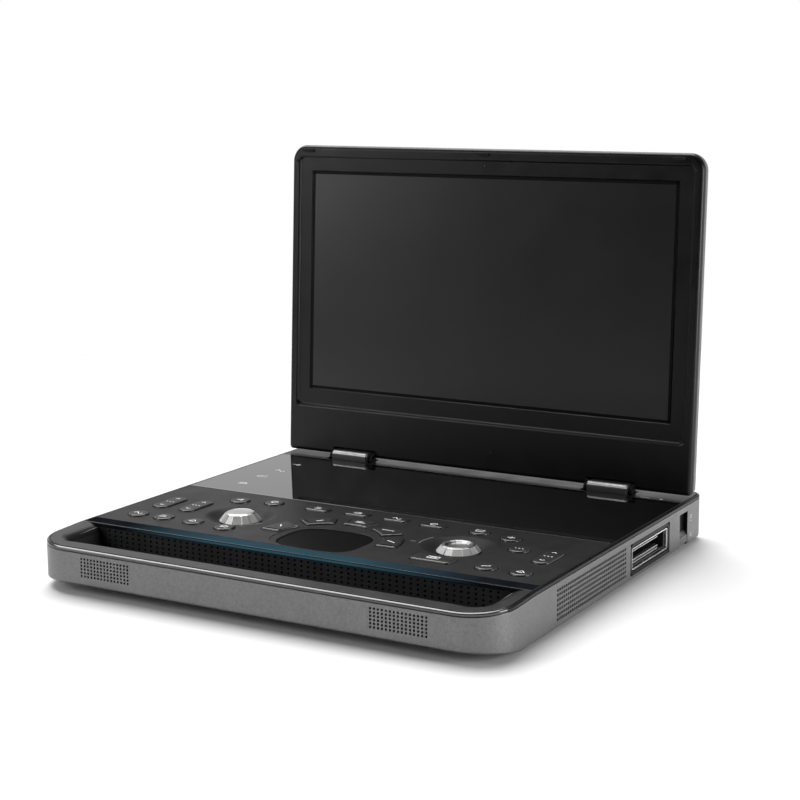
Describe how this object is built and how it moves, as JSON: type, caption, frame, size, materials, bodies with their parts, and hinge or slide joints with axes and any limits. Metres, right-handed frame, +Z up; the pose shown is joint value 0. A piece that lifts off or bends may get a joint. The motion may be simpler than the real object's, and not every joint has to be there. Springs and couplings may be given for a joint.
{
  "type": "ultrasound scanner",
  "caption": "Portable laptop-style ultrasound scanner: control deck with knobs, keys and trackpad, carry-handle slot, side probe socket, and a hinged display lid.",
  "frame": {"origin": "on the standing surface, under the middle of the case", "axes": "+X to the operator's right, +Y towards the lid hinges, +Z up"},
  "size_m": [0.3856, 0.3734, 0.312],
  "materials": {
    "case_paint": "fine metallic grey paint, satin",
    "deck_plastic": "matte soft-touch dark grey",
    "key_plastic": "matte dark grey, pale printed symbols",
    "gloss_black": "mirror-gloss black cover sheet",
    "teal_light": "glossy black strip lit dim teal in the middle",
    "bezel_plastic": "satin black",
    "display_glass": "dark anti-glare display face",
    "bright_metal": "bright satin silver",
    "hinge_satin": "satin grey",
    "hinge_steel": "plain steel",
    "black_rubber": "matte black",
    "black_plastic": "moulded black",
    "circuit_board": "green solder mask",
    "fin_aluminium": "bare fins"
  },
  "bodies": {
    "base": {"bottom_case": "case_paint", "deck_frame": "deck_plastic", "handle_grille": "black_plastic", "light_strip": "teal_light", "touch_glass": "gloss_black", "battery_cover": "case_paint", "foot_front_left": "black_rubber", "foot_rear_left": "black_rubber", "foot_front_right": "black_rubber", "foot_rear_right": "black_rubber", "control_panel": "deck_plastic", "trackpad": "gloss_black", "switch_board": "circuit_board", "probe_socket": "bright_metal", "socket_contacts": "black_plastic", "port_block": "black_plastic", "main_board": "circuit_board", "battery_pack": "black_plastic", "fan_housing": "black_plastic", "heat_sink": "fin_aluminium", "speaker_left": "black_plastic", "speaker_right": "black_plastic", "hinge_barrel_left": "hinge_satin", "hinge_barrel_right": "hinge_satin"},
    "lid": {"lid_bezel": "bezel_plastic", "lid_rear_cover": "case_paint", "lcd_panel": "display_glass", "hinge_leaf_left": "hinge_steel", "hinge_leaf_right": "hinge_steel", "bumper_left": "black_rubber", "bumper_middle": "black_rubber", "bumper_right": "black_rubber"},
    "key_round_1": {"key_round_1": "key_plastic"},
    "key_round_2": {"key_round_2": "key_plastic"},
    "key_round_3": {"key_round_3": "key_plastic"},
    "key_round_4": {"key_round_4": "key_plastic"},
    "key_round_5": {"key_round_5": "key_plastic"},
    "key_round_6": {"key_round_6": "key_plastic"},
    "key_round_7": {"key_round_7": "key_plastic"},
    "key_round_8": {"key_round_8": "key_plastic"},
    "key_round_9": {"key_round_9": "key_plastic"},
    "key_round_10": {"key_round_10": "key_plastic"},
    "key_round_11": {"key_round_11": "key_plastic"},
    "key_rect_1": {"key_rect_1": "key_plastic"},
    "key_rect_2": {"key_rect_2": "key_plastic"},
    "key_rect_3": {"key_rect_3": "key_plastic"},
    "key_rect_4": {"key_rect_4": "key_plastic"},
    "key_wide": {"key_wide": "key_plastic"},
    "key_ring_1": {"key_ring_1": "key_plastic"},
    "key_ring_2": {"key_ring_2": "key_plastic"},
    "key_ring_3": {"key_ring_3": "key_plastic"},
    "key_ring_4": {"key_ring_4": "key_plastic"},
    "key_ring_5": {"key_ring_5": "key_plastic"},
    "key_rocker_1": {"key_rocker_1": "key_plastic"},
    "key_rocker_2": {"key_rocker_2": "key_plastic"},
    "key_rocker_3": {"key_rocker_3": "key_plastic"},
    "knob_left": {"knob_left": "bright_metal"},
    "knob_right": {"knob_right": "bright_metal"},
    "lock_slider": {"lock_slider": "case_paint"},
    "fan_impeller": {"fan_impeller": "black_plastic"}
  },
  "joints": [
    {"name": "lid_hinge", "type": "hinge", "parent": "base", "child": "lid", "pos_m": [0, 0.1526, 0.0381], "axis": [1, 0, 0], "range_deg": [-25, 92.9]},
    {"name": "press_round_1", "type": "slide", "parent": "base", "child": "key_round_1", "axis": [0, 0, -1], "range_m": [0, 0.0012], "stiffness_N_per_m": 500, "springref_m": -0.0004},
    {"name": "press_round_2", "type": "slide", "parent": "base", "child": "key_round_2", "axis": [0, 0, -1], "range_m": [0, 0.0012], "stiffness_N_per_m": 500, "springref_m": -0.0004},
    {"name": "press_round_3", "type": "slide", "parent": "base", "child": "key_round_3", "axis": [0, 0, -1], "range_m": [0, 0.0012], "stiffness_N_per_m": 500, "springref_m": -0.0004},
    {"name": "press_round_4", "type": "slide", "parent": "base", "child": "key_round_4", "axis": [0, 0, -1], "range_m": [0, 0.0012], "stiffness_N_per_m": 500, "springref_m": -0.0004},
    {"name": "press_round_5", "type": "slide", "parent": "base", "child": "key_round_5", "axis": [0, 0, -1], "range_m": [0, 0.0012], "stiffness_N_per_m": 500, "springref_m": -0.0004},
    {"name": "press_round_6", "type": "slide", "parent": "base", "child": "key_round_6", "axis": [0, 0, -1], "range_m": [0, 0.0012], "stiffness_N_per_m": 500, "springref_m": -0.0004},
    {"name": "press_round_7", "type": "slide", "parent": "base", "child": "key_round_7", "axis": [0, 0, -1], "range_m": [0, 0.0012], "stiffness_N_per_m": 500, "springref_m": -0.0004},
    {"name": "press_round_8", "type": "slide", "parent": "base", "child": "key_round_8", "axis": [0, 0, -1], "range_m": [0, 0.0012], "stiffness_N_per_m": 500, "springref_m": -0.0004},
    {"name": "press_round_9", "type": "slide", "parent": "base", "child": "key_round_9", "axis": [0, 0, -1], "range_m": [0, 0.0012], "stiffness_N_per_m": 500, "springref_m": -0.0004},
    {"name": "press_round_10", "type": "slide", "parent": "base", "child": "key_round_10", "axis": [0, 0, -1], "range_m": [0, 0.0012], "stiffness_N_per_m": 500, "springref_m": -0.0004},
    {"name": "press_round_11", "type": "slide", "parent": "base", "child": "key_round_11", "axis": [0, 0, -1], "range_m": [0, 0.0012], "stiffness_N_per_m": 500, "springref_m": -0.0004},
    {"name": "press_rect_1", "type": "slide", "parent": "base", "child": "key_rect_1", "axis": [0, 0, -1], "range_m": [0, 0.0012], "stiffness_N_per_m": 500, "springref_m": -0.0004},
    {"name": "press_rect_2", "type": "slide", "parent": "base", "child": "key_rect_2", "axis": [0, 0, -1], "range_m": [0, 0.0012], "stiffness_N_per_m": 500, "springref_m": -0.0004},
    {"name": "press_rect_3", "type": "slide", "parent": "base", "child": "key_rect_3", "axis": [0, 0, -1], "range_m": [0, 0.0012], "stiffness_N_per_m": 500, "springref_m": -0.0004},
    {"name": "press_rect_4", "type": "slide", "parent": "base", "child": "key_rect_4", "axis": [0, 0, -1], "range_m": [0, 0.0012], "stiffness_N_per_m": 500, "springref_m": -0.0004},
    {"name": "press_wide", "type": "slide", "parent": "base", "child": "key_wide", "axis": [0, 0, -1], "range_m": [0, 0.0012], "stiffness_N_per_m": 500, "springref_m": -0.0004},
    {"name": "press_ring_1", "type": "slide", "parent": "base", "child": "key_ring_1", "axis": [0, 0, -1], "range_m": [0, 0.0012], "stiffness_N_per_m": 500, "springref_m": -0.0004},
    {"name": "press_ring_2", "type": "slide", "parent": "base", "child": "key_ring_2", "axis": [0, 0, -1], "range_m": [0, 0.0012], "stiffness_N_per_m": 500, "springref_m": -0.0004},
    {"name": "press_ring_3", "type": "slide", "parent": "base", "child": "key_ring_3", "axis": [0, 0, -1], "range_m": [0, 0.0012], "stiffness_N_per_m": 500, "springref_m": -0.0004},
    {"name": "press_ring_4", "type": "slide", "parent": "base", "child": "key_ring_4", "axis": [0, 0, -1], "range_m": [0, 0.0012], "stiffness_N_per_m": 500, "springref_m": -0.0004},
    {"name": "press_ring_5", "type": "slide", "parent": "base", "child": "key_ring_5", "axis": [0, 0, -1], "range_m": [0, 0.0012], "stiffness_N_per_m": 500, "springref_m": -0.0004},
    {"name": "tilt_rocker_1", "type": "hinge", "parent": "base", "child": "key_rocker_1", "pos_m": [-0.166, -0.0527, 0.036], "axis": [1, 0, 0], "range_deg": [-3.5, 3.5], "stiffness_Nm_per_rad": 0.2},
    {"name": "tilt_rocker_2", "type": "hinge", "parent": "base", "child": "key_rocker_2", "pos_m": [-0.1405, -0.0527, 0.036], "axis": [1, 0, 0], "range_deg": [-3.5, 3.5], "stiffness_Nm_per_rad": 0.2},
    {"name": "tilt_rocker_3", "type": "hinge", "parent": "base", "child": "key_rocker_3", "pos_m": [0.166, -0.0527, 0.036], "axis": [1, 0, 0], "range_deg": [-3.5, 3.5], "stiffness_Nm_per_rad": 0.2},
    {"name": "turn_knob_left", "type": "hinge", "parent": "base", "child": "knob_left", "pos_m": [-0.094, -0.0582, 0.0375], "axis": [0, 0, 1], "continuous": true},
    {"name": "turn_knob_right", "type": "hinge", "parent": "base", "child": "knob_right", "pos_m": [0.0954, -0.0547, 0.0375], "axis": [0, 0, 1], "continuous": true},
    {"name": "slide_lock", "type": "slide", "parent": "base", "child": "lock_slider", "axis": [0, 0, 1], "range_m": [0, 0.0145]},
    {"name": "spin_fan", "type": "hinge", "parent": "base", "child": "fan_impeller", "pos_m": [0.138, -0.0347, 0.0155], "axis": [0, 0, 1], "continuous": true}
  ]
}
